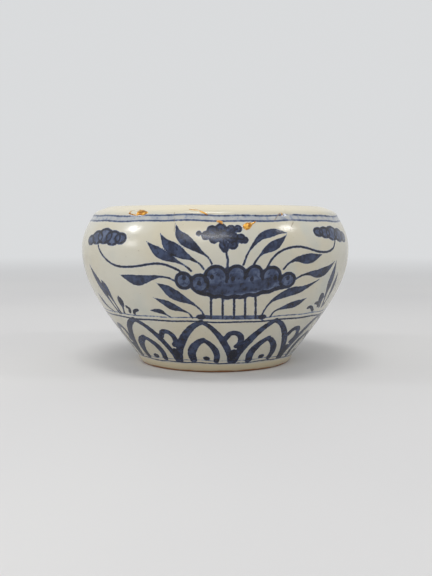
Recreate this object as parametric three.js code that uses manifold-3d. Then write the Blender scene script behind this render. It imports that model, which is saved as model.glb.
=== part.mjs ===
// A low ceramic vase of alms-bowl form: a wide belly, a rim that turns in to a broad mouth and a
// shallow foot ring. Its rim was broken once and mended with gold lacquer.
// Millimetres, +Z up. The origin is the centre of the foot ring, on the face that it rests on.
// The front of the vase faces -Y. Angles round the vase count from there towards +X.
import * as THREE from "three";
import { mergeVertices } from "three/addons/utils/BufferGeometryUtils.js";
import Module from "manifold-3d";

// Driving dimensions of the thrown body
const overallHeight = 87;
const bellyRadius = 75;
const bellyHeight = 63.4;
const shoulderRadius = 68.8;
const shoulderHeight = 81.5;
const mouthRadius = 57;
const lipRadius = 2.1;
const wallThickness = 5;
const floorHeight = 8.5;
const floorRadius = 20;

// Driving dimensions of the foot ring
const footRestRadius = 41.2;
const footTopRadius = 44.3;
const footHeight = 4.2;
const footEdgeRound = 0.8;
const footInnerRadius = 37.5;
const recessDepth = 3.2;

// How the profile leans where its curves meet, in degrees from upright, and how far each curve pulls
const lowerWallAngle = 37;
const lowerWallPull = 30;
const bellyPullDown = 19;
const bellyPullUp = 8;
const shoulderAngle = 33;
const shoulderPull = 5;
const rimAngle = 10;
const rimPull = 2.8;
const rimTopPull = 4.9;
const lipOuterAngle = 70;
const lipInnerAngle = 235;
const innerRimPull = 9;
const innerBellyPull = 9;
const innerWallPull = 24;
const innerFloorPull = 28;

// The mended sherd: its outline as seen from the front, as [degrees round, share of its depth]
const sherdCentre = 10.5;
const sherdDepth = 10.8;
const sherdOutline = [
  [-14.5, 0],
  [-9, 0.2],
  [-3.5, 0.44],
  [1, 0.78],
  [7, 1],
  [13, 0.96],
  [17, 0.74],
  [28, 0.44],
  [33.5, 0],
];
const seamWidth = 0.8;
const glueClearance = 0.2;

// Chips on the rim and along the break, filled with gold lacquer: how far each lies below the rim
// and how long and wide it is. All reach equally far into the wall and stand equally proud of it.
const fillThickness = 2.2;
const fillProud = 0.35;
const rimLeftBelow = 3.6;
const rimLeftLength = 11.4;
const rimLeftWidth = 4.8;
const rimFrontBelow = 2.7;
const rimFrontLength = 6.2;
const rimFrontWidth = 1.5;
const seamLeftBelow = 8.3;
const seamLeftLength = 3;
const seamLeftWidth = 1.5;
const seamRightBelow = 10.4;
const seamRightLength = 5.8;
const seamRightWidth = 3.4;
const rimRightBelow = 4.6;
const rimRightLength = 3.4;
const rimRightWidth = 1.8;

// Each fill by its angle round the vase and its turn on the wall, both in degrees, with up to the right
const fills = [
  {
    name: "gold_fill_rim_left",
    round: -34.5,
    below: rimLeftBelow,
    size: [rimLeftLength, rimLeftWidth],
    turn: -6,
  },
  {
    name: "gold_fill_rim_front",
    round: -8.5,
    below: rimFrontBelow,
    size: [rimFrontLength, rimFrontWidth],
    turn: -12,
  },
  {
    name: "gold_fill_seam_left",
    round: 2,
    below: seamLeftBelow,
    size: [seamLeftLength, seamLeftWidth],
    turn: -14,
  },
  {
    name: "gold_fill_seam_right",
    round: 12.6,
    below: seamRightBelow,
    size: [seamRightLength, seamRightWidth],
    turn: 40,
  },
  {
    name: "gold_fill_rim_right",
    round: 28,
    below: rimRightBelow,
    size: [rimRightLength, rimRightWidth],
    turn: 14,
  },
];

// How finely round shapes are cut into flat faces
const aroundSteps = 72;
const curveSteps = 6;
const outlineSteps = 20;
const fillColumns = 20;
const fillRows = 12;
const slopeStep = 0.5;
const weldDistance = 1e-4;

// The block that cuts the sherd out: how far it reaches past the body, and how far round its ends may lie
const cutMargin = 6;
const blockAngle = 45;

const radians = THREE.MathUtils.degToRad;
const wasm = await Module();
wasm.setup();

// A closed three.js geometry as a manifold-3d solid.
function solidOf(geometry) {
  const plain = new THREE.BufferGeometry();
  const source = geometry.index ? geometry.toNonIndexed() : geometry;
  plain.setAttribute("position", source.getAttribute("position"));
  const merged = mergeVertices(plain, weldDistance);
  return new wasm.Manifold(
    new wasm.Mesh({
      numProp: 3,
      vertProperties: merged.attributes.position.array,
      triVerts: new Uint32Array(merged.index.array),
    }),
  );
}

// A manifold-3d solid as a three.js geometry.
function geometryOf(solid) {
  const mesh = solid.getMesh();
  const geometry = new THREE.BufferGeometry();
  geometry.setAttribute("position", new THREE.BufferAttribute(mesh.vertProperties, 3));
  geometry.setIndex(new THREE.BufferAttribute(mesh.triVerts, 1));
  geometry.computeVertexNormals();
  return geometry;
}

// A direction in the profile plane, leaning inwards by an angle from straight up.
function upward(lean) {
  return new THREE.Vector2(-Math.sin(radians(lean)), Math.cos(radians(lean)));
}

// A cubic curve in the profile plane from one point to another, with the pull at each end.
function pulled(start, startPull, endPull, end) {
  return new THREE.CubicBezierCurve(start, start.clone().add(startPull), end.clone().add(endPull), end);
}

// The point of the rounded lip at an angle, counted from straight out towards straight up.
function lipPoint(angle) {
  const centre = new THREE.Vector2(mouthRadius + lipRadius, overallHeight - lipRadius);
  const a = radians(angle);
  return centre.add(new THREE.Vector2(Math.cos(a), Math.sin(a)).multiplyScalar(lipRadius));
}

// The direction in which the lip runs inwards at that angle.
function lipDirection(angle) {
  const a = radians(angle);
  return new THREE.Vector2(-Math.sin(a), Math.cos(a));
}

// The curves of the outer wall from the foot ring up to the lip.
function outerCurves() {
  const footTop = new THREE.Vector2(footTopRadius, footHeight);
  const belly = new THREE.Vector2(bellyRadius, bellyHeight);
  const shoulder = new THREE.Vector2(shoulderRadius, shoulderHeight);
  return [
    pulled(
      footTop,
      upward(-lowerWallAngle).multiplyScalar(lowerWallPull),
      new THREE.Vector2(0, -bellyPullDown),
      belly,
    ),
    pulled(
      belly,
      new THREE.Vector2(0, bellyPullUp),
      upward(shoulderAngle).multiplyScalar(-shoulderPull),
      shoulder,
    ),
    pulled(
      shoulder,
      upward(rimAngle).multiplyScalar(rimPull),
      lipDirection(lipOuterAngle).multiplyScalar(-rimTopPull),
      lipPoint(lipOuterAngle),
    ),
  ];
}

// The curves of the inner wall from the lip down to the flat floor.
function innerCurves() {
  const belly = new THREE.Vector2(bellyRadius - wallThickness, bellyHeight);
  const floor = new THREE.Vector2(floorRadius, floorHeight);
  return [
    pulled(
      lipPoint(lipInnerAngle),
      lipDirection(lipInnerAngle).multiplyScalar(innerRimPull),
      new THREE.Vector2(0, innerBellyPull),
      belly,
    ),
    pulled(belly, new THREE.Vector2(0, -innerWallPull), new THREE.Vector2(innerFloorPull, 0), floor),
  ];
}

// The profile of the body from the axis under the base, out, up, over the lip and back to the axis.
function bodyProfile() {
  const points = [
    new THREE.Vector2(0, recessDepth),
    new THREE.Vector2(footInnerRadius - footEdgeRound, recessDepth),
    new THREE.Vector2(footInnerRadius, recessDepth - footEdgeRound),
    new THREE.Vector2(footInnerRadius + footEdgeRound / 2, 0),
    new THREE.Vector2(footRestRadius, 0),
    new THREE.Vector2(footRestRadius + footEdgeRound, footEdgeRound / 2),
  ];
  for (const curve of outerCurves()) points.push(...curve.getPoints(curveSteps));
  const lipSteps = curveSteps;
  for (let i = 1; i < lipSteps; i++)
    points.push(lipPoint(lipOuterAngle + ((lipInnerAngle - lipOuterAngle) * i) / lipSteps));
  for (const curve of innerCurves()) points.push(...curve.getPoints(curveSteps));
  points.push(new THREE.Vector2(0, floorHeight));
  return points.filter((p, i) => i === 0 || p.distanceTo(points[i - 1]) > weldDistance);
}

// The body as thrown, before any break.
function wholeBody() {
  const turned = new THREE.LatheGeometry(bodyProfile(), aroundSteps);
  turned.rotateX(Math.PI / 2);
  return solidOf(turned);
}

// The radius of the outer wall at a height between the belly and the lip.
function outerRadiusAt(height) {
  const points = outerCurves().flatMap((curve) => curve.getPoints(curveSteps));
  for (let i = 1; i < points.length; i++) {
    const [low, high] = [points[i - 1], points[i]];
    if (height >= low.y && height <= high.y && high.y > low.y)
      return THREE.MathUtils.mapLinear(height, low.y, high.y, low.x, high.x);
  }
  return mouthRadius + lipRadius;
}

// Turns a geometry whose front faces -Y round the vase by an angle in degrees.
function turnRound(geometry, degrees) {
  return geometry.rotateZ(radians(degrees));
}

// A block through the rim with the sherd's outline as its lower edge, moved out by an offset.
function sherdBlock(offset) {
  const edge = new THREE.SplineCurve(
    sherdOutline.map(([round, share]) => {
      const across = shoulderRadius * Math.sin(radians(round - sherdCentre));
      return new THREE.Vector2(across, overallHeight - share * sherdDepth);
    }),
  );
  const top = overallHeight + cutMargin;
  const outline = [];
  for (let i = 0; i <= outlineSteps; i++) {
    const at = i / outlineSteps;
    const tangent = edge.getTangent(at);
    outline.push(edge.getPoint(at).add(new THREE.Vector2(tangent.y, -tangent.x).multiplyScalar(offset)));
  }
  const first = outline[0];
  const last = outline[outline.length - 1];
  const shape = new THREE.Shape([
    new THREE.Vector2(first.x, top),
    ...outline,
    new THREE.Vector2(last.x, top),
  ]);
  const outside = bellyRadius + cutMargin;
  const inside = mouthRadius * Math.cos(radians(blockAngle));
  const block = new THREE.ExtrudeGeometry(shape, { depth: outside - inside, bevelEnabled: false });
  block.rotateX(Math.PI / 2);
  block.translate(0, -inside, 0);
  return solidOf(turnRound(block, sherdCentre));
}

// The lens-shaped lump of one fill, grown by an offset, seated in the outer wall.
function fillLump(fill, offset) {
  const height = overallHeight - fill.below;
  const lean = outerRadiusAt(height - slopeStep) - outerRadiusAt(height + slopeStep);
  const slope = Math.atan2(lean, 2 * slopeStep);
  const lump = new THREE.SphereGeometry(1 / 2, fillColumns, fillRows);
  const [along, across, through] = [...fill.size, fillThickness].map((size) => size + 2 * offset);
  lump.scale(along, through, across);
  lump.rotateY(radians(-fill.turn));
  lump.rotateX(-slope);
  lump.translate(0, -outerRadiusAt(height), height);
  return solidOf(turnRound(lump, fill.round));
}

// Everything inside the outer wall, grown by how far the fills stand proud of it.
function proudSkin() {
  const wall = outerCurves()
    .slice(1)
    .flatMap((curve) => curve.getPoints(curveSteps))
    .map((p) => new THREE.Vector2(p.x + fillProud, p.y + fillProud));
  const skin = new THREE.LatheGeometry(
    [
      new THREE.Vector2(0, bellyHeight),
      new THREE.Vector2(bellyRadius + fillProud, bellyHeight),
      ...wall,
      new THREE.Vector2(0, overallHeight + fillProud),
    ],
    aroundSteps,
  );
  skin.rotateX(Math.PI / 2);
  return solidOf(skin);
}

const glazed = { roughness: 0.22, metalness: 0 };
const materials = {
  glazed_ceramic: new THREE.MeshStandardMaterial({ color: 0xc9c8bb, ...glazed }),
  gold_lacquer: new THREE.MeshStandardMaterial({ color: 0xc9953c, roughness: 0.35, metalness: 0.9 }),
};

// A named mesh of a solid.
function piece(name, solid, material) {
  const mesh = new THREE.Mesh(geometryOf(solid), materials[material]);
  mesh.name = name;
  return mesh;
}

const vase = new THREE.Group();
const whole = wholeBody();
const half = seamWidth / 2;
const sockets = fills.map((fill) => fillLump(fill, glueClearance));
const carved = (solid) => sockets.reduce((left, socket) => left.subtract(socket), solid);

vase.add(piece("vase_body", carved(whole.subtract(sherdBlock(half + glueClearance))), "glazed_ceramic"));
vase.add(piece("rim_sherd", carved(whole.intersect(sherdBlock(-half - glueClearance))), "glazed_ceramic"));
vase.add(
  piece(
    "gold_seam",
    carved(whole.intersect(sherdBlock(half).subtract(sherdBlock(-half)))),
    "gold_lacquer",
  ),
);
const skin = proudSkin();
for (const fill of fills)
  vase.add(piece(fill.name, fillLump(fill, 0).intersect(skin), "gold_lacquer"));

export default vase;
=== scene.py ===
import math

import bmesh
import bpy
import numpy as np
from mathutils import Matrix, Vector


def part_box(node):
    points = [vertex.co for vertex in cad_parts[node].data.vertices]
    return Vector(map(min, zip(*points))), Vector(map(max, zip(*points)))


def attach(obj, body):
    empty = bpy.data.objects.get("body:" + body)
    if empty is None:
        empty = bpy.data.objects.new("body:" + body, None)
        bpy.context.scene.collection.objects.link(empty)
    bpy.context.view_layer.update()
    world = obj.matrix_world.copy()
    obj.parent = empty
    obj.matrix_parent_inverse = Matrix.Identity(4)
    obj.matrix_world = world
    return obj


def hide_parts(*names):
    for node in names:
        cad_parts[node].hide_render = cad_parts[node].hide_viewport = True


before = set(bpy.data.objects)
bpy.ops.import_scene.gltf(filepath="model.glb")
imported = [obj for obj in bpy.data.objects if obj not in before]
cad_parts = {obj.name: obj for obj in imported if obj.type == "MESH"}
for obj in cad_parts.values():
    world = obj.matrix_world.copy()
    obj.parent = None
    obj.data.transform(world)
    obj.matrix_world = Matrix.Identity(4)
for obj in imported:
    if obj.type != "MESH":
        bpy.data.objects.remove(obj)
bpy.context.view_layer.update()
MM = 0.001

# The profile of the body in millimetres. Height and width come from the frame.
BODY_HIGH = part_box("vase_body")[1]
HEIGHT = BODY_HIGH.z / MM
BELLY = (BODY_HIGH.x / MM, 63.4)
SHOULDER = (68.8, 81.5)
FOOT_TOP = (44.3, 4.2)
FLOOR = (20.0, 8.5)
MOUTH_RADIUS = 57.0
LIP_RADIUS = 2.1
WALL = 5.0
RECESS = 3.2
FOOT_RING = [
    (36.7, RECESS),
    (37.3, 2.9),
    (37.5, 2.4),
    (37.9, 0.15),
    (38.1, 0.0),
    (41.2, 0.0),
    (41.8, 0.2),
]
FOOT_EDGE_PULL = (1.3, 0.6)
FOOT_TOP_PULL = (-0.2, -1.4)
LOWER_WALL_LEAN = 37
LOWER_WALL_PULL = 30
BELLY_PULL_DOWN = 19
BELLY_PULL_UP = 8
SHOULDER_LEAN = 33
SHOULDER_PULL = 5
RIM_LEAN = 10
RIM_PULL = 2.8
RIM_TOP_PULL = 4.9
LIP_OUTER_ANGLE = 70
LIP_INNER_ANGLE = 235
INNER_RIM_PULL = 9
INNER_BELLY_PULL = 9
INNER_WALL_PULL = 24
INNER_FLOOR_PULL = 28
CURVE_STEPS = 160
FOOT_STEPS = 12
LIP_STEPS = 40


def at_angle(angle, length):
    """A vector in the profile plane, by its angle from straight out towards straight up."""
    a = math.radians(angle)
    return np.array([math.cos(a), math.sin(a)]) * length


def bezier(start, start_pull, end_pull, end, steps=CURVE_STEPS):
    """Points of a cubic curve, without its last one. The pulls are measured from the ends."""
    a = np.array(start, float)
    d = np.array(end, float)
    b = a + np.array(start_pull)
    c = d + np.array(end_pull)
    t = np.linspace(0, 1, steps, endpoint=False)[:, None]
    return a * (1 - t) ** 3 + 3 * b * t * (1 - t) ** 2 + 3 * c * t * t * (1 - t) + d * t**3


def body_profile():
    """The whole profile from the axis below to the axis inside, finely stepped."""
    lip_centre = np.array([MOUTH_RADIUS + LIP_RADIUS, HEIGHT - LIP_RADIUS])
    lip_start = lip_centre + at_angle(LIP_OUTER_ANGLE, LIP_RADIUS)
    lip_end = lip_centre + at_angle(LIP_INNER_ANGLE, LIP_RADIUS)
    lip_angles = np.linspace(LIP_OUTER_ANGLE, LIP_INNER_ANGLE, LIP_STEPS)[:-1]
    lip = [lip_centre + at_angle(angle, LIP_RADIUS) for angle in lip_angles]
    inner_belly = (BELLY[0] - WALL, BELLY[1])
    wall_up = at_angle(90 - LOWER_WALL_LEAN, LOWER_WALL_PULL)
    shoulder_down = at_angle(90 + SHOULDER_LEAN, -SHOULDER_PULL)
    rim_up = at_angle(90 + RIM_LEAN, RIM_PULL)
    rim_back = at_angle(90 + LIP_OUTER_ANGLE, -RIM_TOP_PULL)
    lip_on = at_angle(90 + LIP_INNER_ANGLE, INNER_RIM_PULL)
    return np.vstack(
        [
            [(0.0, RECESS)],
            FOOT_RING[:-1],
            bezier(FOOT_RING[-1], FOOT_EDGE_PULL, FOOT_TOP_PULL, FOOT_TOP, FOOT_STEPS),
            bezier(FOOT_TOP, wall_up, (0, -BELLY_PULL_DOWN), BELLY),
            bezier(BELLY, (0, BELLY_PULL_UP), shoulder_down, SHOULDER),
            bezier(SHOULDER, rim_up, rim_back, lip_start),
            lip,
            bezier(lip_end, lip_on, (0, INNER_BELLY_PULL), inner_belly),
            bezier(inner_belly, (0, -INNER_WALL_PULL), (INNER_FLOOR_PULL, 0), FLOOR),
            [FLOOR, (0.0, FLOOR[1])],
        ]
    )


PROFILE = body_profile()
RUN = np.concatenate([[0], np.cumsum(np.hypot(*np.diff(PROFILE, axis=0).T))])
CREST = int(PROFILE[:, 1].argmax())
FOOT_TOP_RUN = float(RUN[np.hypot(*(PROFILE - FOOT_TOP).T).argmin()])
CREST_RUN = float(RUN[CREST])
END_RUN = float(RUN[-1])
INNER_REACH = 300


def radius_at(run):
    return np.interp(run, RUN, PROFILE[:, 0])


def height_at(run):
    return np.interp(run, RUN, PROFILE[:, 1])


def outer_run(height):
    """The run along the outer wall at a height, from the foot up to the crest of the lip."""
    first = int(np.searchsorted(RUN, FOOT_TOP_RUN))
    return np.interp(height, PROFILE[first : CREST + 1, 1], RUN[first : CREST + 1])


def inner_run(height):
    """The run along the inner wall at a height just below the crest of the lip."""
    last = CREST + INNER_REACH
    return np.interp(height, PROFILE[CREST:last, 1][::-1], RUN[CREST:last][::-1])


# The camera of the photograph, in its 432 by 576 frame, and millimetres round the vase
FRAME_PX = (432.0, 576.0)
FOCAL_PX = 768.0
CENTRE_PX = (FRAME_PX[0] / 2, FRAME_PX[1] / 2)
NEAREST_WALL = 355
FARTHEST_WALL = 452
DEPTH_STEPS = 1600
EYE = np.array([0.47, -439.0, 77.8])
PITCH = 4.81


def seen(points):
    """Turns places in the photograph's frame into [degrees round, run] on the outer wall."""
    px = np.array(points, float)
    across = (px[:, 0] - CENTRE_PX[0]) / FOCAL_PX
    down = (px[:, 1] - CENTRE_PX[1]) / FOCAL_PX
    p = math.radians(PITCH)
    ray = np.stack([across, math.cos(p) - down * math.sin(p), -math.sin(p) - down * math.cos(p)], 1)
    depth = np.linspace(NEAREST_WALL, FARTHEST_WALL, DEPTH_STEPS)
    place = EYE + ray[:, None, :] * depth[None, :, None]
    wall = radius_at(outer_run(place[..., 2]))
    outside = np.hypot(place[..., 0], place[..., 1]) - wall
    hit = np.where((outside < 0).any(1), (outside < 0).argmax(1), outside.argmin(1))
    spot = place[np.arange(len(px)), hit]
    return np.stack([np.degrees(np.arctan2(spot[:, 0], -spot[:, 1])), outer_run(spot[:, 2])], 1)


def at_height(points):
    """Turns [degrees round, height] into [degrees round, run]."""
    p = np.array(points, float)
    return np.stack([p[:, 0], outer_run(p[:, 1])], 1)


def smooth(points, steps=5):
    """A smooth curve through given points."""
    p = np.array(points, float)
    p = np.vstack([2 * p[0] - p[1], p, 2 * p[-1] - p[-2]])
    t = np.linspace(0, 1, steps, endpoint=False)[:, None]
    curve = []
    for a, b, c, d in zip(p, p[1:], p[2:], p[3:]):
        bend = (2 * a - 5 * b + 4 * c - d) * t**2 + (3 * b - a - 3 * c + d) * t**3
        curve.append((2 * b + (c - a) * t + bend) / 2)
    return np.vstack(curve + [p[-2:-1]])


class Paint:
    """How far each point of a surface lies from the painted lines, leaves and washes, in mm.

    A negative distance is inside the paint.
    """

    FAR = 4.0
    REACH = 2.0
    FIELDS = ("line", "leaf", "wash", "tint", "shade")

    def __init__(self, round_deg, run):
        self.round = np.asarray(round_deg, float)
        self.run = np.asarray(run, float)
        for name in self.FIELDS:
            setattr(self, name, np.full(self.round.shape, self.FAR))

    def offset(self, place, near):
        """Distances across and along from a place, for the points that lie within reach of it."""
        mm_per_degree = math.radians(1) * radius_at(place[1])
        turn = (self.round - place[0] + 180) % 360 - 180
        close = (np.abs(turn) * mm_per_degree < near) & (np.abs(self.run - place[1]) < near)
        picked = np.nonzero(close)[0]
        return picked, turn[picked] * mm_per_degree, self.run[picked] - place[1]

    def stroke(self, field, path, half):
        """Adds a brush stroke along a path, with half its width at each point."""
        target = getattr(self, field)
        half = np.broadcast_to(half, len(path))
        for a, b, h0, h1 in zip(path, path[1:], half, half[1:]):
            mm_per_degree = math.radians(1) * radius_at((a[1] + b[1]) / 2)
            step = np.array([(b[0] - a[0]) * mm_per_degree, b[1] - a[1]])
            length = math.hypot(*step)
            picked, x, y = self.offset(a, length + max(h0, h1) + self.REACH)
            t = np.clip((x * step[0] + y * step[1]) / max(length**2, 1e-9), 0, 1)
            gap = np.hypot(x - t * step[0], y - t * step[1]) - (h0 + (h1 - h0) * t)
            target[picked] = np.minimum(target[picked], gap)

    def dab(self, field, place, across, along=None):
        """Adds a round or oval dab of paint with the given half sizes."""
        target = getattr(self, field)
        along = along or across
        picked, x, y = self.offset(place, max(across, along) + self.REACH)
        gap = (np.hypot(x / across, y / along) - 1) * min(across, along)
        target[picked] = np.minimum(target[picked], gap)

    def ring(self, place, across, along, half, start=0, end=360):
        """Adds an arc of outline round a place, with angles from straight out towards up."""
        a = np.radians(np.linspace(start, end, 20))
        mm_per_degree = math.radians(1) * radius_at(place[1])
        round_deg = place[0] + across * np.cos(a) / mm_per_degree
        path = np.stack([round_deg, place[1] + along * np.sin(a)], 1)
        self.stroke("line", path, half)


# Lotus pond: places in the photograph's frame, read from root to tip, and blade widths in mm
LEFT_BLADES = [
    (
        [
            (212, 264), (208.6, 258), (202, 252.7), (193.4, 246.4),
            (185, 240), (179, 234), (175.5, 223),
        ],
        5.4,
    ),
    (
        [
            (203.7, 269), (199.6, 264), (191.6, 259), (182.7, 254.5),
            (173.8, 249), (165.7, 242.9), (160, 232.5),
        ],
        5.8,
    ),
    (
        [
            (191.2, 271), (185.4, 266), (177.3, 261.6), (169.3, 258),
            (160.4, 253.6), (153.2, 248), (146, 241),
        ],
        4.6,
    ),
    (
        [
            (175, 281), (167.5, 277.7), (156.8, 276.8), (146, 279),
            (137, 280.4), (128.2, 278), (119.3, 274.6),
        ],
        4.8,
    ),
    (
        [
            (203.7, 315), (200.5, 309.8), (192.5, 303.6), (182.7, 299),
            (172.9, 293.8), (164.8, 288), (155.9, 282.6),
        ],
        5.6,
    ),
    (
        [
            (192.5, 318), (188.9, 313.4), (180.9, 309.8),
            (172.9, 307), (164.8, 302.7), (152.8, 297.3),
        ],
        4.0,
    ),
    (
        [
            (170.2, 317), (165.7, 314.3),
            (159.5, 311.2), (150, 310.3),
        ],
        2.3,
    ),
]
RIGHT_BLADES = [
    (
        [
            (243.5, 265), (247, 255.3), (252.6, 246.2), (260.7, 237),
            (268.9, 233.5), (277.9, 231.7), (287, 233),
        ],
        3.8,
    ),
    (
        [
            (253.5, 265), (258, 258), (264.3, 251.6),
            (271.6, 247), (278.8, 242.6), (287, 234.4),
        ],
        4.4,
    ),
    (
        [
            (283.8, 269), (288.8, 263.4), (297, 259.3),
            (306, 258.9), (314.2, 257.5), (322.3, 254.3),
        ],
        4.2,
    ),
    (
        [
            (295, 279.5), (302.4, 275.2), (310.5, 273.4),
            (318.7, 273.4), (326.8, 269.7), (335, 261),
        ],
        3.6,
    ),
    (
        [
            (262, 315), (265.3, 308.7), (271.6, 301.4), (280.7, 296),
            (291.5, 291.5), (302.4, 288.8), (320, 278.8),
        ],
        4.2,
    ),
    (
        [
            (269.8, 317), (274.3, 311.4), (282.5, 307.8),
            (291.5, 305), (298.8, 302.4), (306.9, 297.8),
        ],
        3.4,
    ),
]
LEFT_POD_STEM = [
    (181, 272), (173.8, 267.9), (164.8, 264.7), (155.9, 263.6), (147, 264.5), (133.6, 266.5),
    (120.2, 266.5), (111.3, 263.4), (104, 257), (99.6, 250), (98.3, 245.5),
]
RIGHT_POD_STEM = [
    (267, 268), (271.6, 259.8), (278.8, 252.5), (288.8, 248), (298.8, 246.6), (308.7, 248.5),
    (318.7, 251.6), (327.8, 251.6), (333.2, 248), (335, 241),
]
FLOWER_STEM = [(225.4, 250.7), (227.7, 259), (227.2, 270)]
LEAF_LOBES = [(216, 277.5, 12.8), (236.5, 275.3, 10.8), (254.5, 273.5, 9.0), (271.5, 275.8, 10.2)]
LEAF_OUTLINE = 0.85
LEAF_TOP_ARC = (-20, 200)
WHOLE_ARC = (0, 360)
LEAF_MIDDLE_HALF = 3.4
LEAF_SHADE_HALF = 3.6
LEAF_HEM_HALF = 1.15
HEART = (1.1, 1.5)
POD_OUTLINE = 0.7
POD_ARC = (-80, 260)
LEAF_END_LOBES = [(183.6, 280.6, 9.2), (199.6, 283.6, 10.2), (287.6, 280.2, 8.4)]
LEAF_HEM = [
    (197, 291.5), (203, 293.6), (208, 294.2), (214, 296.6), (220, 296), (227, 297.8), (234, 296.2),
    (241, 297.2), (248, 294.8), (255, 295), (262, 292.2), (269, 291.6), (276, 288.6), (284, 287),
]
LEAF_MIDDLE = [(196, 285), (206, 286), (218, 285.5), (238, 284), (256, 282), (274, 281), (284, 281)]
LEAF_SHADE = [(212, 288.5), (226, 289.5), (242, 288), (258, 285), (270, 282.5)]
LEAF_HEARTS = [(184, 278), (199, 283), (212, 277), (233, 279), (252, 279), (275, 278), (288, 278)]
LEFT_POD = [(91.2, 240, 5.4), (97.2, 237.4, 7.2), (104.6, 236, 8.2), (112.6, 238, 7.8), (120.2, 238.4, 6.2)]
RIGHT_POD = [(318.6, 232, 5.0), (325, 232.4, 6.0), (332, 233.2, 7.4), (338.6, 235, 7.0), (343, 236.8, 5.6)]
FLOWER = [
    (199, 233.5, 1.9), (206, 235.5, 3.9), (212, 230.5, 4.6), (214, 238.5, 4.4), (221, 228.6, 4.8),
    (223, 236, 6.0), (231, 230, 4.4), (238, 228.8, 3.2), (233, 237.5, 4.8), (241, 238.5, 4.2),
    (245, 240, 2.6), (224, 245.5, 4.2), (233, 244.5, 4.4), (225, 249.5, 2.4),
]
FLOWER_MIDDLE = (223, 237)
PETAL_OUTLINE = 0.6
PETAL_VEIN = 0.5
PETAL_ARC = 95
PETAL_SPREAD = (1.2, 1.15)
PETAL_RING = 0.9
STEMS_X = [211, 222.6, 234, 245, 255.3]
STEM_TOP_Y = 295
BASE_Y = 317
BASE_X = (201, 262)
BASE_SAG = 0.6
BASE_HALF = 1.25
BASE_END = (2.4, 1.6)
STEM_PAST_BASE = 1.5
STALK_HALF = 0.52
CURL_HALF = 0.9
REED_HALF = 0.55
LEFT_SPRAY = [
    ([(119.7, 313), (110, 300), (100, 284), (89.5, 264)], 3.4),
    ([(121.5, 313), (113, 300), (106, 288), (101, 279.5)], 3.0),
    ([(114.5, 311.5), (106, 304), (98, 293)], 2.2),
    ([(124.6, 313), (122, 304.5), (118, 295.5)], 3.0),
]
RIGHT_SPRAY = [
    ([(321.4, 307), (326, 294), (331, 280), (336.5, 260)], 3.6),
    ([(323, 305), (328, 297), (334, 284), (338, 272)], 2.4),
    ([(319, 307), (321, 300), (321.5, 293)], 3.2),
]
CURLS = [
    [(126.5, 306.5), (129.5, 309), (130, 312)],
    [(137.5, 310), (134.5, 311), (134.5, 313.5)],
    [(308, 307.5), (311, 307), (312.5, 310.5)],
    [(315.5, 303), (317.5, 303), (318, 306)],
]

# Lappets round the foot, as [degrees from the middle of a panel, height in mm]
LAPPETS = 10
FIRST_LAPPET = -6.4
OUTER_ARCH = [(-16.8, 6.6), (-15.6, 11), (-12.6, 16.5), (-8.6, 22), (-4.3, 26.4), (0, 29)]
INNER_ARCH = [(-7.6, 7.0), (-7.9, 10.5), (-6.3, 14), (-3.2, 17.1), (0, 19)]
LOOP = [(12.6, 20.2), (14.6, 22.8), (17.6, 23), (20, 21), (20.6, 17.6), (19, 15.5)]
DOT = (0.9, 8.2)
BLOB = (17.9, 10.6)

# Water weed at the sides, between the front pond and the back one: places as for the lappets
SIDE_WEED = [
    ([(0, 31), (0.9, 38), (-0.6, 47), (2.0, 57)], 3.0),
    ([(1.6, 31), (4.4, 38), (8.6, 45.5)], 2.6),
    ([(-1.6, 31), (-4.2, 37), (-7.4, 42.5)], 2.4),
]
SIDE_WEED_PLACES = (-93, 93)

# Bands round the body, as [height, half the line's width] in mm, by how strongly they are painted
BAND_LINES = [(29.2, 0.46), (5.4, 0.34)]
BAND_WASHES = [(81.7, 0.42), (79.1, 0.46), (31.2, 0.28), (7.0, 0.2)]
BAND_TINTS = [(80.4, 1.3)]
# A faint grey-blue tint along the crest of the lip: half its width in mm
LIP_CREST_GREY_HALF = 0.35

# Hairline cracks, in the photograph's frame, and half the width of each in mm
CRACK_HALF = 0.22
HAIRLINES = [
    [(174.6, 212.5), (174.2, 218), (174.8, 223), (174, 231)],
    [(293.5, 221.5), (291.5, 226), (290.3, 230.5)],
    [(279.5, 213.5), (277, 216.5), (274.5, 220.5)],
]


# What looks narrow near the outline of the vase is painted wider on the wall, up to these limits
WIDEST_OVAL = 1.6
LEAST_FACING = 0.62
FACING_POWER = 0.7

# A brushed leaf: the share of it that is stem, the half width at its root, and how its blade swells
STEM_SHARE = 0.2
ROOT_HALF = 0.42
TIP_HALF = 0.08
BLADE_FULLNESS = 0.46
BLADE_LEAN = 1.3
BLADE_POINT = 1.5


def seen_oval(x, y, size, turn):
    """The place and the half sizes on the wall of what looks round in the photograph."""
    corners = [(x - size, y), (x + size, y), (x, y - size), (x, y + size), (x, y)]
    left, right, top, low, middle = seen(corners)
    along = (top[1] - low[1]) / 2
    across = (right[0] - left[0]) / 2 * math.radians(1) * radius_at(middle[1])
    return (middle[0] + turn, (top[1] + low[1]) / 2), min(across, WIDEST_OVAL * along), along


def blade_widths(count, width):
    """Half widths along a brushed leaf: a thin stem, a full blade and a pointed tip."""
    t = np.linspace(0, 1, count)
    blade = np.clip((t - STEM_SHARE) / (1 - STEM_SHARE), 0, 1)
    swell = np.sin(np.pi * blade**BLADE_LEAN) ** BLADE_POINT
    return ROOT_HALF * (1 - t) + TIP_HALF + BLADE_FULLNESS * width * swell


def paint_blades(paint, blades, turn):
    for points, width in blades:
        path = smooth(seen(points))
        facing = np.clip(np.cos(np.radians(path[:, 0])), LEAST_FACING, 1)
        path[:, 0] += turn
        paint.stroke("leaf", path, blade_widths(len(path), width) / facing**FACING_POWER)


def paint_line(paint, points, half, turn=0.0, field="line"):
    path = smooth(seen(points))
    path[:, 0] += turn
    paint.stroke(field, path, half)


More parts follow.
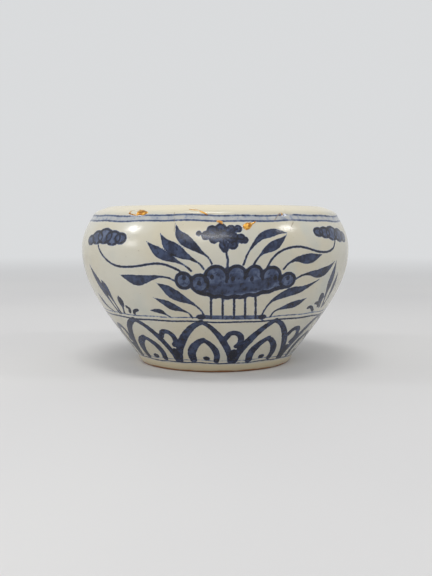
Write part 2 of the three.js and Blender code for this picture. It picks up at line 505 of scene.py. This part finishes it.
def paint_lobes(paint, lobes, turn, outline, arc):
    """A scalloped head or leaf: a wash, with an arc of outline round each lobe, in degrees."""
    for x, y, size in lobes:
        spot, across, along = seen_oval(x, y, size, turn)
        paint.dab("wash", spot, across, along)
        paint.ring(spot, across - outline, along - outline, outline, *arc)


def paint_flower(paint, turn):
    """Petals heaped round a middle, each outlined on its outer side and veined from the middle."""
    middle = seen([FLOWER_MIDDLE])[0] + (turn, 0)
    mm_per_degree = math.radians(1) * radius_at(middle[1])
    for x, y, size in FLOWER:
        spot, across, along = seen_oval(x, y, size, turn)
        outward = math.degrees(math.atan2(spot[1] - middle[1], (spot[0] - middle[0]) * mm_per_degree))
        paint.dab("leaf", spot, across * PETAL_SPREAD[0], along * PETAL_SPREAD[1])
        ring = (across * PETAL_RING, along * PETAL_RING, PETAL_OUTLINE)
        paint.ring(spot, *ring, outward - PETAL_ARC, outward + PETAL_ARC)
        paint.stroke("line", [tuple(middle), tuple(spot)], PETAL_VEIN)


def paint_cluster(paint, turn):
    """The lotus in the pond: leaf, flower, pods, blades and water weed."""
    for blades in (LEFT_BLADES, RIGHT_BLADES, LEFT_SPRAY, RIGHT_SPRAY):
        paint_blades(paint, blades, turn)
    for points in (LEFT_POD_STEM, RIGHT_POD_STEM, FLOWER_STEM):
        paint_line(paint, points, STALK_HALF, turn)
    for points in CURLS:
        paint_line(paint, points, CURL_HALF, turn)
    for lobes in (LEFT_POD, RIGHT_POD):
        paint_lobes(paint, lobes, turn, POD_OUTLINE, POD_ARC)
    paint_lobes(paint, LEAF_LOBES, turn, LEAF_OUTLINE, LEAF_TOP_ARC)
    paint_lobes(paint, LEAF_END_LOBES, turn, LEAF_OUTLINE, WHOLE_ARC)
    paint_line(paint, LEAF_MIDDLE, LEAF_MIDDLE_HALF, turn, "wash")
    paint_line(paint, LEAF_SHADE, LEAF_SHADE_HALF, turn, "shade")
    paint_line(paint, LEAF_HEM, LEAF_HEM_HALF, turn)
    for heart in seen(LEAF_HEARTS):
        paint.dab("line", (heart[0] + turn, heart[1]), *HEART)
    paint_flower(paint, turn)
    for x in STEMS_X:
        paint_line(paint, [(x, STEM_TOP_Y), (x, BASE_Y + STEM_PAST_BASE)], REED_HALF, turn)
    left, right = BASE_X
    base = [(left, BASE_Y), ((left + right) / 2, BASE_Y + BASE_SAG), (right, BASE_Y)]
    paint_line(paint, base, BASE_HALF, turn, "wash")
    for x in BASE_X:
        spot = seen([(x, BASE_Y)])[0]
        paint.dab("line", (spot[0] + turn, spot[1]), *BASE_END)


def paint_side_weed(paint):
    for middle in SIDE_WEED_PLACES:
        for points, width in SIDE_WEED:
            path = smooth(at_height([(middle + a, z) for a, z in points]))
            paint.stroke("leaf", path, blade_widths(len(path), width))


# Half the width of a lappet's strokes at their foot, shoulder and tip, and of the loops between them
OUTER_HALVES = (1.5, 2.0, 1.25)
INNER_HALVES = (1.7, 2.05, 1.4)
LOOP_HALF = 1.5
ARCH_SHARES = (0, 0.45, 1)
FIRM_SIDE = 0.1
ARCH_FOOT = 1.1
DOT_SIZE = (1.8, 1.5)
BLOB_SIZE = (2.3, 3.8)


def paint_lappets(paint):
    for i in range(LAPPETS):
        middle = FIRST_LAPPET + i * 360 / LAPPETS
        for arch, halves in ((OUTER_ARCH, OUTER_HALVES), (INNER_ARCH, INNER_HALVES)):
            for side in (-1, 1):
                path = smooth(at_height([(middle + side * a, z) for a, z in arch]))
                half = np.interp(np.linspace(0, 1, len(path)), ARCH_SHARES, halves)
                paint.stroke("leaf", path, half * (1 + FIRM_SIDE * side))
                paint.dab("line", path[1], halves[0], ARCH_FOOT)
        loop = smooth(at_height([(middle + a, z) for a, z in LOOP]))
        paint.stroke("leaf", loop, LOOP_HALF)
        paint.dab("line", at_height([(middle + DOT[0], DOT[1])])[0], *DOT_SIZE)
        paint.dab("line", at_height([(middle + BLOB[0], BLOB[1])])[0], *BLOB_SIZE)


def paint_bands(paint):
    for height, half in BAND_LINES:
        paint.line = np.minimum(paint.line, np.abs(paint.run - outer_run(height)) - half)
    for height, half in BAND_WASHES:
        paint.wash = np.minimum(paint.wash, np.abs(paint.run - outer_run(height)) - half)
    for height, half in BAND_TINTS:
        paint.tint = np.minimum(paint.tint, np.abs(paint.run - outer_run(height)) - half)
    # A faint grey-blue tint along the crest of the lip
    paint.tint = np.minimum(paint.tint, np.abs(paint.run - CREST_RUN) - LIP_CREST_GREY_HALF)


# The drift of a hand-held brush round and along the wall: how far, waves round the vase and phase
DRIFT_ROUND = [(0.45, 5, 40), (0.3, 13, 0)]
DRIFT_RUN = [(0.25, 7, 10), (0.18, 17, 80)]
BACK_DRIFT = 3


def drift(round_deg, waves):
    return sum(far * np.sin(np.radians(round_deg * times + phase)) for far, times, phase in waves)


def paint_all(round_deg, run):
    """The whole decoration on a surface's points. The back repeats the front, less exactly."""
    drift_round = drift(round_deg, DRIFT_ROUND)
    drift_run = drift(round_deg, DRIFT_RUN)
    pond = Paint(round_deg, run)
    paint_cluster(pond, 0.0)
    back = Paint(round_deg + BACK_DRIFT * drift_round, run + BACK_DRIFT * drift_run)
    paint_cluster(back, 180.0)
    rings = Paint(round_deg + drift_round, run + drift_run)
    paint_lappets(rings)
    paint_side_weed(rings)
    paint_bands(rings)
    marks = Paint(round_deg, run)
    for points in HAIRLINES:
        paint_line(marks, points, CRACK_HALF)
    layers = (pond, back, rings)
    fields = {name: np.min([getattr(layer, name) for layer in layers], 0) for name in Paint.FIELDS}
    fields["crack"] = marks.line
    return fields


# The break of the rim, as [degrees round, millimetres below the rim], and the joint's width
BREAK = [
    (-14.5, 0),
    (-9, 2.2),
    (-3.5, 4.8),
    (1, 8.4),
    (7, 10.8),
    (13, 10.4),
    (17, 8),
    (28, 4.8),
    (33.5, 0),
]
BREAK_ENDS = (-16.5, 35.5)
END_RISE = 1.2
FINE_STEPS = 2000
JOINT_HALF = 0.5
break_curve = smooth(BREAK, 12)


def break_height(round_deg, offset):
    """The height of the break at an angle, moved up by an offset square to it."""
    slope = np.gradient(break_curve[:, 1], break_curve[:, 0] * math.radians(1) * SHOULDER[0])
    below = np.interp(round_deg, break_curve[:, 0], break_curve[:, 1], left=0, right=0)
    tilt = np.interp(round_deg, break_curve[:, 0], slope, left=0, right=0)
    ends = np.clip(BREAK[0][0] - round_deg, 0, None) + np.clip(round_deg - BREAK[-1][0], 0, None)
    return HEIGHT - below + ends * END_RISE + offset * np.sqrt(1 + tilt**2)


def surface(round_deg, runs):
    """Points of the lathe surface in metres, at columns round it and runs along its profile."""
    r = radius_at(runs) * MM
    a = np.radians(round_deg)[:, None] if np.ndim(runs) > 1 else np.radians(round_deg)
    return np.stack([r * np.sin(a), -r * np.cos(a), height_at(runs) * MM], -1)


def grid_mesh(name, points, closed_round, closed_run):
    """A mesh of quads over a grid of points [columns, rows, 3], with seams closed as asked."""
    columns, rows = points.shape[:2]
    index = np.arange(columns * rows).reshape(columns, rows)
    if closed_round:
        index = np.vstack([index, index[:1]])
    if closed_run:
        index = np.hstack([index, index[:, :1]])
    quads = np.stack([index[:-1, :-1], index[1:, :-1], index[1:, 1:], index[:-1, 1:]], -1).reshape(-1, 4)
    mesh = bpy.data.meshes.new(name)
    mesh.from_pydata(points.reshape(-1, 3).tolist(), [], quads.tolist())
    return mesh


def add_paint(mesh, round_deg, run):
    """Keeps the paint distances, and the run, on each point of a mesh."""
    fields = paint_all(round_deg, run)
    fields["run"] = run
    for name, values in fields.items():
        attribute = mesh.attributes.new(name, "FLOAT", "POINT")
        attribute.data.foreach_set("value", np.asarray(values, np.float32).ravel())


def finish_mesh(piece, weld=2e-6, sharp=42):
    """Joins points that coincide, drops empty faces and shades the rest smoothly."""
    work = bmesh.new()
    work.from_mesh(piece.data)
    bmesh.ops.remove_doubles(work, verts=work.verts, dist=weld)
    bmesh.ops.dissolve_degenerate(work, edges=work.edges, dist=weld)
    bmesh.ops.recalc_face_normals(work, faces=work.faces)
    work.to_mesh(piece.data)
    work.free()
    piece.data.shade_smooth()
    piece.data.set_sharp_from_angle(angle=math.radians(sharp))


def new_piece(name, mesh, material, node):
    piece = bpy.data.objects.new(name, mesh)
    bpy.context.scene.collection.objects.link(piece)
    mesh.materials.append(material)
    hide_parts(node)
    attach(piece, "root")
    return piece


# How finely the surfaces are stepped
COLUMNS = 600
OUTER_ROWS = 172
INNER_ROWS = 64
LIP_CROWDING = 1.8
SQUEEZE_HEIGHT = 70.0


def squeezed(rows, start, old_end, new_end):
    """Rows along the wall, drawn together beyond a start so that they end at a new place."""
    share = np.clip((rows - start) / (old_end - start), 0, 1)
    return np.where(share > 0, start + share * (new_end - start), rows)


def body_runs(round_deg):
    """For each column of the body, the runs of its rows, stopping at the break on both sides."""
    cut = break_height(round_deg, -JOINT_HALF)
    outer_end = np.where(cut < HEIGHT, outer_run(np.minimum(cut, HEIGHT)), CREST_RUN)[:, None]
    inner_end = np.where(cut < HEIGHT, inner_run(np.minimum(cut, HEIGHT)), CREST_RUN)[:, None]
    below = RUN[: int(np.searchsorted(RUN, FOOT_TOP_RUN)) + 1]
    below = below[np.r_[True, np.diff(below) > 0.01]]
    outer = np.linspace(FOOT_TOP_RUN, CREST_RUN, OUTER_ROWS)[1:]
    inner = CREST_RUN + (END_RUN - CREST_RUN) * np.linspace(0, 1, INNER_ROWS) ** LIP_CROWDING
    outer_start = outer_run(SQUEEZE_HEIGHT)
    inner_start = inner_run(SQUEEZE_HEIGHT)
    rows_out = squeezed(np.r_[below, outer][None, :], outer_start, CREST_RUN, outer_end)
    share = np.clip((inner_start - inner[None, :]) / (inner_start - CREST_RUN), 0, 1)
    rows_in = np.where(share > 0, inner_start + share * (inner_end - inner_start), inner[None, :])
    return np.hstack([np.broadcast_to(rows_out, (len(round_deg), rows_out.shape[1])), rows_in])


def add_bake_map(mesh):
    """A UV map that gives the painted outer wall most of the room, in a front and a back strip."""
    layer = mesh.uv_layers.new(name="OFBake")
    corners = np.zeros(len(mesh.loops), np.int64)
    mesh.loops.foreach_get("vertex_index", corners)
    place = np.zeros(len(mesh.vertices) * 3)
    mesh.vertices.foreach_get("co", place)
    place = place.reshape(-1, 3)
    run = np.zeros(len(mesh.vertices), np.float32)
    mesh.attributes["run"].data.foreach_get("value", run)
    starts = np.zeros(len(mesh.polygons), np.int64)
    counts = np.zeros(len(mesh.polygons), np.int64)
    mesh.polygons.foreach_get("loop_start", starts)
    mesh.polygons.foreach_get("loop_total", counts)
    face_of = np.repeat(np.arange(len(counts)), counts)
    around = np.degrees(np.arctan2(place[:, 0], -place[:, 1]))[corners]
    along = run[corners]
    centre = np.add.reduceat(place[corners], starts, 0) / counts[:, None]
    middle = np.degrees(np.arctan2(centre[:, 0], -centre[:, 1]))[face_of]
    around = middle + (around - middle + 180) % 360 - 180
    inside = (np.add.reduceat(along, starts) / counts)[face_of]
    front = np.abs(middle) < 90
    turned = np.where(front, around, (around % 360) - 180)
    u = 0.5 + turned / 180 * 0.96
    share = (along - FOOT_TOP_RUN) / (CREST_RUN - FOOT_TOP_RUN)
    v = np.where(front, 0.01, 0.40) + 0.37 * share
    bottom = inside < FOOT_TOP_RUN
    top = inside > CREST_RUN
    u_rest = 0.5 + around / 360 * 0.96
    v = np.where(bottom, 0.79 + 0.06 * along / FOOT_TOP_RUN, v)
    v = np.where(top, 0.87 + 0.12 * (along - CREST_RUN) / (END_RUN - CREST_RUN), v)
    u = np.where(bottom | top, u_rest, u)
    layer.data.foreach_set("uv", np.clip(np.stack([u, v], 1), 0, 1).astype(np.float32).ravel())


def build_body(material):
    round_deg = np.linspace(-180, 180, COLUMNS, endpoint=False) + 0.001
    runs = body_runs(round_deg)
    mesh = grid_mesh("glazed_body", surface(round_deg, runs), True, False)
    add_paint(mesh, np.repeat(round_deg, runs.shape[1]), runs.ravel())
    piece = new_piece("glazed_body", mesh, material, "vase_body")
    finish_mesh(piece)
    add_bake_map(mesh)
    return piece


SHERD_COLUMNS = 130
SHERD_ROWS = 54


def build_sherd(material):
    wide = np.linspace(*BREAK_ENDS, FINE_STEPS)
    inside = wide[break_height(wide, JOINT_HALF) < HEIGHT]
    round_deg = np.linspace(inside[0], inside[-1], SHERD_COLUMNS)
    cut = np.minimum(break_height(round_deg, JOINT_HALF), HEIGHT)
    share = np.linspace(0, 1, SHERD_ROWS)[None, :]
    low = outer_run(cut)[:, None]
    high = inner_run(cut)[:, None]
    rising = low + (CREST_RUN - low) * share * 2
    sinking = CREST_RUN + (high - CREST_RUN) * (share * 2 - 1)
    runs = np.where(share < 0.5, rising, sinking)
    mesh = grid_mesh("refitted_sherd", surface(round_deg, runs), False, True)
    add_paint(mesh, np.repeat(round_deg, runs.shape[1]), runs.ravel())
    piece = new_piece("refitted_sherd", mesh, material, "rim_sherd")
    finish_mesh(piece)
    return piece


# Where the joint is dusted with gold, in degrees round; elsewhere it is toned in with the glaze
GILDED = [(-6.5, -3.0), (0.5, 3.0), (10.5, 16.0)]
GILDED_SOFT = 0.8
SEAM_COLUMNS = 170
SEAM_STEPS = 7
SEAM_PROUD = 0.10
GOLD_PROUD = 0.22
SLOPE_STEP = 0.2


def gilding(round_deg):
    """How far each angle lies inside the gilded stretches, from 0 to 1."""
    shares = []
    for start, end in GILDED:
        inside = np.minimum(round_deg - start, end - round_deg)
        shares.append(np.clip(inside / GILDED_SOFT + 0.5, 0, 1))
    return np.max(shares, 0)


def build_seam(material):
    wide = np.linspace(*BREAK_ENDS, FINE_STEPS)
    inside = wide[break_height(wide, -JOINT_HALF) < HEIGHT]
    round_deg = np.linspace(inside[0], inside[-1], SEAM_COLUMNS)
    low = np.minimum(break_height(round_deg, -JOINT_HALF), HEIGHT)
    high = np.minimum(break_height(round_deg, JOINT_HALF), HEIGHT)
    t = np.linspace(0, 1, SEAM_STEPS)[None, :]
    outer = outer_run(low)[:, None] * (1 - t) + outer_run(high)[:, None] * t
    inner = inner_run(high)[:, None] * (1 - t) + inner_run(low)[:, None] * t
    runs = np.hstack([outer, inner])
    points = surface(round_deg, runs)
    proud = (SEAM_PROUD + GOLD_PROUD * gilding(round_deg))[:, None] * np.sin(np.pi * t) * MM
    lift = np.hstack([proud, proud * 0.5])
    wider = radius_at(runs + SLOPE_STEP) - radius_at(runs - SLOPE_STEP)
    higher = height_at(runs + SLOPE_STEP) - height_at(runs - SLOPE_STEP)
    ahead = np.stack([wider, higher], -1)
    ahead /= np.linalg.norm(ahead, axis=-1, keepdims=True)
    a = np.radians(round_deg)[:, None]
    points[..., 0] += ahead[..., 1] * np.sin(a) * lift
    points[..., 1] -= ahead[..., 1] * np.cos(a) * lift
    points[..., 2] = np.minimum(points[..., 2] - ahead[..., 0] * lift, HEIGHT * MM)
    mesh = grid_mesh("gold_joint", points, False, True)
    add_paint(mesh, np.repeat(round_deg, runs.shape[1]), runs.ravel())
    gold = mesh.attributes.new("gold", "FLOAT", "POINT")
    across = np.hstack([np.sin(np.pi * t) ** 1.2] * 2)
    gold.data.foreach_set("value", (gilding(round_deg)[:, None] * across).ravel().astype(np.float32))
    piece = new_piece("gold_joint", mesh, material, "gold_seam")
    finish_mesh(piece)
    return piece


# Gold fills: node, place as [degrees round, mm below the rim], half sizes in mm, turn in degrees,
# seed, and the share of the length from which the gold covers it
FILLS = [
    ("gold_fill_rim_left", (-34.5, 3.6), (5.8, 2.4, 0.5), -6, 1.0, 0.1),
    ("gold_fill_rim_front", (-8.5, 2.7), (3.0, 0.5, 0.3), -12, 2.0, -2.0),
    ("gold_fill_seam_left", (2, 8.3), (1.4, 0.65, 0.3), -14, 3.0, -2.0),
    ("gold_fill_seam_right", (12.6, 10.4), (2.9, 1.7, 0.5), 40, 4.0, -2.0),
    ("gold_fill_rim_right", (28, 4.6), (1.6, 0.8, 0.3), 14, 5.0, 0.5),
]
FILL_AROUND = 48
FILL_RINGS = 14


def build_fill(material, node, place, half, turn, seed, gold_from):
    """A flat, uneven pat of lacquer that follows the wall, with a rounded edge and a worn top.

    Up to a share of its length it is toned in like the glaze, with only its edge in gold.
    """
    angle = np.linspace(0, 2 * np.pi, FILL_AROUND, endpoint=False)[:, None]
    edge = 1 + 0.10 * np.sin(2 * angle + seed)
    edge = edge + 0.07 * np.sin(3 * angle + 2.1 * seed)
    edge = edge + 0.04 * np.sin(7 * angle)
    reach = np.sin(np.linspace(0, np.pi, FILL_RINGS))[None, :]
    lift = np.cos(np.linspace(0, np.pi, FILL_RINGS))[None, :] * half[2]
    u = half[0] * edge * reach * np.cos(angle)
    v = half[1] * edge * reach * np.sin(angle)
    lift = lift * (1 + 0.25 * np.sin(1.3 * u + seed) * np.cos(2.1 * v + seed)) - 0.12
    tilt = math.radians(turn)
    across = u * math.cos(tilt) - v * math.sin(tilt)
    along = u * math.sin(tilt) + v * math.cos(tilt)
    start = float(outer_run(HEIGHT - place[1]))
    runs = start + along
    around = np.radians(place[0]) + across / radius_at(start)
    slope = np.arctan2(
        height_at(runs + 0.3) - height_at(runs - 0.3),
        radius_at(runs + 0.3) - radius_at(runs - 0.3),
    )
    r = radius_at(runs) + np.sin(slope) * lift
    z = height_at(runs) - np.cos(slope) * lift
    points = np.stack([r * np.sin(around), -r * np.cos(around), z], -1) * MM
    name = node.replace("gold_fill", "gold_pat")
    mesh = grid_mesh(name, points, True, False)
    add_paint(mesh, np.degrees(around).ravel(), runs.ravel())
    gold = mesh.attributes.new("gold", "FLOAT", "POINT")
    bare = np.clip((gold_from * half[0] - u) / 0.5, 0, 1) * np.clip((0.86 - reach) / 0.1, 0, 1)
    gold.data.foreach_set("value", (1.2 - bare).astype(np.float32).ravel())
    piece = new_piece(name, mesh, material, node)
    finish_mesh(piece, sharp=80)
    return piece


class Nodes:
    """A short way to write a material's node tree."""

    def __init__(self, name):
        self.material = bpy.data.materials.new(name)
        self.material.use_nodes = True
        self.tree = self.material.node_tree
        self.shader = self.tree.nodes["Principled BSDF"]

    def put(self, value, socket):
        if hasattr(value, "links"):
            self.tree.links.new(value, socket)
        elif value is not None:
            socket.default_value = value

    def math(self, operation, a, b=None, c=None, clamp=False):
        node = self.tree.nodes.new("ShaderNodeMath")
        node.operation = operation
        node.use_clamp = clamp
        for value, socket in zip((a, b, c), node.inputs):
            self.put(value, socket)
        return node.outputs[0]

    def attribute(self, name):
        node = self.tree.nodes.new("ShaderNodeAttribute")
        node.attribute_name = name
        return node.outputs["Fac"]

    def noise(self, scale, detail=2.0, roughness=0.5):
        node = self.tree.nodes.new("ShaderNodeTexNoise")
        node.inputs["Scale"].default_value = scale
        node.inputs["Detail"].default_value = detail
        node.inputs["Roughness"].default_value = roughness
        self.tree.links.new(self.place(), node.inputs["Vector"])
        return node.outputs["Fac"]

    def place(self):
        if not hasattr(self, "_place"):
            self._place = self.tree.nodes.new("ShaderNodeTexCoord").outputs["Object"]
        return self._place

    def height(self):
        node = self.tree.nodes.new("ShaderNodeSeparateXYZ")
        self.tree.links.new(self.place(), node.inputs[0])
        return node.outputs["Z"]

    def band(self, value, low, high, out_low=0.0, out_high=1.0):
        node = self.tree.nodes.new("ShaderNodeMapRange")
        node.interpolation_type = "SMOOTHSTEP"
        for given, socket in zip((value, low, high, out_low, out_high), node.inputs):
            self.put(given, socket)
        return node.outputs[0]

    def mix(self, share, a, b):
        node = self.tree.nodes.new("ShaderNodeMix")
        node.data_type = "RGBA"
        self.put(share, node.inputs["Factor"])
        self.put(a, node.inputs["A"])
        self.put(b, node.inputs["B"])
        return node.outputs["Result"]

    def ramp(self, value, stops):
        node = self.tree.nodes.new("ShaderNodeValToRGB")
        elements = node.color_ramp.elements
        while len(elements) < len(stops):
            elements.new(0.5)
        for element, (at, colour) in zip(elements, stops):
            element.position = at
            element.color = colour
        self.put(value, node.inputs[0])
        return node.outputs["Color"]

    def bump(self, height, strength, distance):
        node = self.tree.nodes.new("ShaderNodeBump")
        node.inputs["Strength"].default_value = strength
        node.inputs["Distance"].default_value = distance
        self.put(height, node.inputs["Height"])
        self.put(node.outputs[0], self.shader.inputs["Normal"])


def srgb(red, green, blue):
    """A colour as it shows on a screen, from 0 to 255, in the shader's linear values."""
    values = [c / 255 for c in (red, green, blue)]
    return tuple(c / 12.92 if c <= 0.04045 else ((c + 0.055) / 1.055) ** 2.4 for c in values) + (1.0,)


GLAZE = srgb(200, 197, 183)
GLAZE_WARM = srgb(196, 189, 168)
GLAZE_COOL = srgb(184, 188, 181)
LIP_CREAM = srgb(222, 212, 184)
FOOT_CREAM = srgb(188, 176, 148)
FOOT_CLAY = srgb(150, 104, 66)
SPECK = srgb(120, 104, 78)
COBALT_STOPS = [
    (0.0, srgb(172, 180, 188)),
    (0.28, srgb(112, 124, 148)),
    (0.55, srgb(58, 71, 100)),
    (0.78, srgb(30, 38, 62)),
    (1.0, srgb(10, 12, 26)),
]
GOLD = srgb(214, 160, 70)
GOLD_DARK = srgb(150, 96, 34)


def glaze_colour(n):
    """The fired glaze: warm and cool clouds, specks, a creamy lip and a bare clay foot."""
    clouds = n.band(n.noise(28, 3), 0.35, 0.68)
    colour = n.mix(clouds, GLAZE_WARM, GLAZE)
    colour = n.mix(n.band(n.noise(61, 2), 0.5, 0.8, 0.0, 0.6), colour, GLAZE_COOL)
    specks = n.band(n.noise(900, 1), 0.74, 0.79, 0.0, 0.5)
    colour = n.mix(specks, colour, SPECK)
    z = n.height()
    lip = n.band(z, 0.0825, 0.0855)
    colour = n.mix(n.math("MULTIPLY", lip, 0.8), colour, LIP_CREAM)
    foot = n.band(z, 0.0048, 0.0036)
    colour = n.mix(foot, colour, FOOT_CREAM)
    wander = n.math("MULTIPLY", n.math("SUBTRACT", n.noise(120, 2), 0.5), 0.0016)
    bare = n.band(n.math("ADD", z, wander), 0.0014, 0.0007)
    return n.mix(bare, colour, FOOT_CLAY), bare


def cobalt(n):
    """How strongly the brush laid the cobalt, from 0 to 1, out of the painted distances."""
    wobble = n.math("MULTIPLY", n.math("SUBTRACT", n.noise(700, 2), 0.5), 0.55)
    cloud = n.noise(260, 3, 0.6)
    spots = n.band(n.noise(520, 2), 0.56, 0.68)
    covers = []
    for name, soft, low, high, pool in (
        ("line", 0.28, 0.82, 1.0, 0.0),
        ("leaf", 0.26, 0.58, 0.86, 0.16),
        ("wash", 0.36, 0.42, 0.66, 0.12),
        ("tint", 0.40, 0.15, 0.21, 0.03),
        ("shade", 1.60, 0.56, 0.84, 0.0),
    ):
        gap = n.math("ADD", n.attribute(name), wobble)
        inside = n.band(gap, soft, -soft)
        tone = n.band(cloud, 0.32, 0.70, low, high)
        rim = n.band(gap, -0.75, -0.1, 0.0, pool)
        heaped = n.math("MULTIPLY", spots, 0.04 if name == "tint" else 0.14)
        tone = n.math("ADD", n.math("ADD", tone, rim), heaped)
        covers.append(n.math("MULTIPLY", inside, tone))
    strength = covers[0]
    for cover in covers[1:]:
        strength = n.math("MAXIMUM", strength, cover, clamp=True)
    return strength


def painted_colour(n):
    base, bare = glaze_colour(n)
    strength = cobalt(n)
    ink = n.ramp(strength, COBALT_STOPS)
    colour = n.mix(n.band(strength, 0.02, 0.30), base, ink)
    crack = n.band(n.attribute("crack"), 0.22, -0.12, 0.0, 0.62)
    return n.mix(crack, colour, SPECK), bare


def glazed_material():
    n = Nodes("cobalt_under_glaze")
    colour, bare = painted_colour(n)
    n.put(colour, n.shader.inputs["Base Color"])
    n.put(n.band(bare, 0.0, 1.0, 0.19, 0.75), n.shader.inputs["Roughness"])
    n.shader.inputs["Specular IOR Level"].default_value = 0.5
    waves = n.math("ADD", n.math("MULTIPLY", n.noise(55, 2), 1.0), n.math("MULTIPLY", n.noise(420, 2), 0.16))
    n.bump(waves, 0.22, 0.0012)
    return n.material


def gold_colour(n):
    worn = n.band(n.noise(650, 3, 0.6), 0.40, 0.62)
    return n.mix(worn, GOLD_DARK, GOLD), worn


def joint_material():
    """The mend: gold where it was dusted, and toned in like the painted glaze elsewhere."""
    n = Nodes("gold_and_toned_lacquer")
    plain, _ = painted_colour(n)
    gold, worn = gold_colour(n)
    wander = n.math("MULTIPLY", n.math("SUBTRACT", n.noise(500, 2), 0.5), 0.7)
    share = n.band(n.math("ADD", n.attribute("gold"), wander), 0.40, 0.60)
    n.put(n.mix(share, plain, gold), n.shader.inputs["Base Color"])
    n.put(n.math("MULTIPLY", share, 0.7), n.shader.inputs["Metallic"])
    n.put(n.band(share, 0.0, 1.0, 0.24, 0.38), n.shader.inputs["Roughness"])
    n.bump(n.noise(700, 2), 0.15, 0.0004)
    return n.material


# Floor, backdrop and light. The floor fades into the backdrop all round, so that no edge of it shows.
FLOOR_HALF = 6.0
FLOOR_COLOUR = srgb(214, 213, 211)
FLOOR_CLOUD = srgb(208, 207, 206)
FADE_START = 0.22
FADE_END = 1.5
BACKDROP = (0.70, 0.71, 0.72, 1.0)
WORLD_STRENGTH = 0.55


def backdrop_rays(tree):
    """1 for the rays that show the backdrop: straight from the camera, mirrored or passing through."""
    rays = tree.nodes.new("ShaderNodeLightPath")
    straight_or_mirrored = tree.nodes.new("ShaderNodeMath")
    straight_or_mirrored.operation = "MAXIMUM"
    tree.links.new(rays.outputs["Is Camera Ray"], straight_or_mirrored.inputs[0])
    tree.links.new(rays.outputs["Is Glossy Ray"], straight_or_mirrored.inputs[1])
    any_of_them = tree.nodes.new("ShaderNodeMath")
    any_of_them.operation = "MAXIMUM"
    tree.links.new(straight_or_mirrored.outputs[0], any_of_them.inputs[0])
    tree.links.new(rays.outputs["Is Transmission Ray"], any_of_them.inputs[1])
    return any_of_them.outputs[0]


def build_floor():
    """A flat floor that fades into the colour of the backdrop, but lights the vase as a floor does."""
    corners = np.array([[(x, y, 0.0) for y in (-FLOOR_HALF, FLOOR_HALF)] for x in (-FLOOR_HALF, FLOOR_HALF)])
    mesh = grid_mesh("floor", corners, False, False)
    floor = bpy.data.objects.new("floor", mesh)
    bpy.context.scene.collection.objects.link(floor)
    n = Nodes("pale_floor")
    n.put(n.mix(n.band(n.noise(3, 2), 0.3, 0.7), FLOOR_COLOUR, FLOOR_CLOUD), n.shader.inputs["Base Color"])
    n.shader.inputs["Roughness"].default_value = 0.7
    away = n.tree.nodes.new("ShaderNodeVectorMath")
    away.operation = "LENGTH"
    n.put(n.place(), away.inputs[0])
    fade = n.band(away.outputs["Value"], FADE_START, FADE_END)
    backdrop = n.tree.nodes.new("ShaderNodeEmission")
    backdrop.inputs["Color"].default_value = BACKDROP
    blend = n.tree.nodes.new("ShaderNodeMixShader")
    n.put(n.math("MULTIPLY", fade, backdrop_rays(n.tree)), blend.inputs[0])
    n.put(n.shader.outputs[0], blend.inputs[1])
    n.put(backdrop.outputs[0], blend.inputs[2])
    n.put(blend.outputs[0], n.tree.nodes["Material Output"].inputs["Surface"])
    mesh.materials.append(n.material)


def build_world():
    """Soft light from all round, behind which the camera sees the plain backdrop."""
    world = bpy.data.worlds.new("studio")
    bpy.context.scene.world = world
    world.use_nodes = True
    tree = world.node_tree
    light = tree.nodes["Background"]
    light.inputs["Color"].default_value = (0.96, 0.97, 1.0, 1.0)
    light.inputs["Strength"].default_value = WORLD_STRENGTH
    backdrop = tree.nodes.new("ShaderNodeBackground")
    backdrop.inputs["Color"].default_value = BACKDROP
    blend = tree.nodes.new("ShaderNodeMixShader")
    tree.links.new(backdrop_rays(tree), blend.inputs[0])
    tree.links.new(light.outputs[0], blend.inputs[1])
    tree.links.new(backdrop.outputs[0], blend.inputs[2])
    tree.links.new(blend.outputs[0], tree.nodes["World Output"].inputs["Surface"])


# Soft lamps: name, place, target, size across and down, power
LAMPS = [
    ("left_high", (-0.94, -0.14, 0.70), (0, 0, 0.06), (0.19, 0.14), 1.9),
    ("left_low", (-0.98, -0.32, 0.30), (0, 0, 0.06), (0.20, 0.16), 0.6),
    ("right", (0.83, -0.28, 0.75), (0, 0, 0.06), (0.16, 0.12), 1.4),
    ("top", (-0.08, -0.22, 1.1), (0, 0, 0.06), (0.45, 0.20), 3.2),
    ("strip", (-0.03, -1.18, 0.86), (0, 0, 0.06), (0.62, 0.04), 1.2),
    ("front", (-0.4, -1.9, 1.5), (0, 0, 0.06), (1.5, 0.9), 9.5),
]


def build_lamps():
    for name, place, target, size, power in LAMPS:
        light = bpy.data.lights.new(name, "AREA")
        light.shape = "RECTANGLE"
        light.size, light.size_y = size
        light.energy = power
        lamp = bpy.data.objects.new(name, light)
        lamp.location = place
        lamp.rotation_euler = (Vector(target) - Vector(place)).to_track_quat("-Z", "Y").to_euler()
        bpy.context.scene.collection.objects.link(lamp)


def build_camera():
    data = bpy.data.cameras.new("view")
    data.sensor_fit = "VERTICAL"
    data.sensor_height = 36.0
    data.lens = FOCAL_PX / FRAME_PX[1] * data.sensor_height
    data.clip_start = 0.01
    camera = bpy.data.objects.new("view", data)
    camera.location = EYE * MM
    camera.rotation_euler = (math.radians(90 - PITCH), 0, 0)
    bpy.context.scene.collection.objects.link(camera)
    bpy.context.scene.camera = camera


bpy.context.scene.view_settings.view_transform = "Standard"
build_camera()
build_world()
build_lamps()
build_floor()
glaze = glazed_material()
build_body(glaze)
build_sherd(glaze)
joint = joint_material()
build_seam(joint)
for fill in FILLS:
    build_fill(joint, *fill)
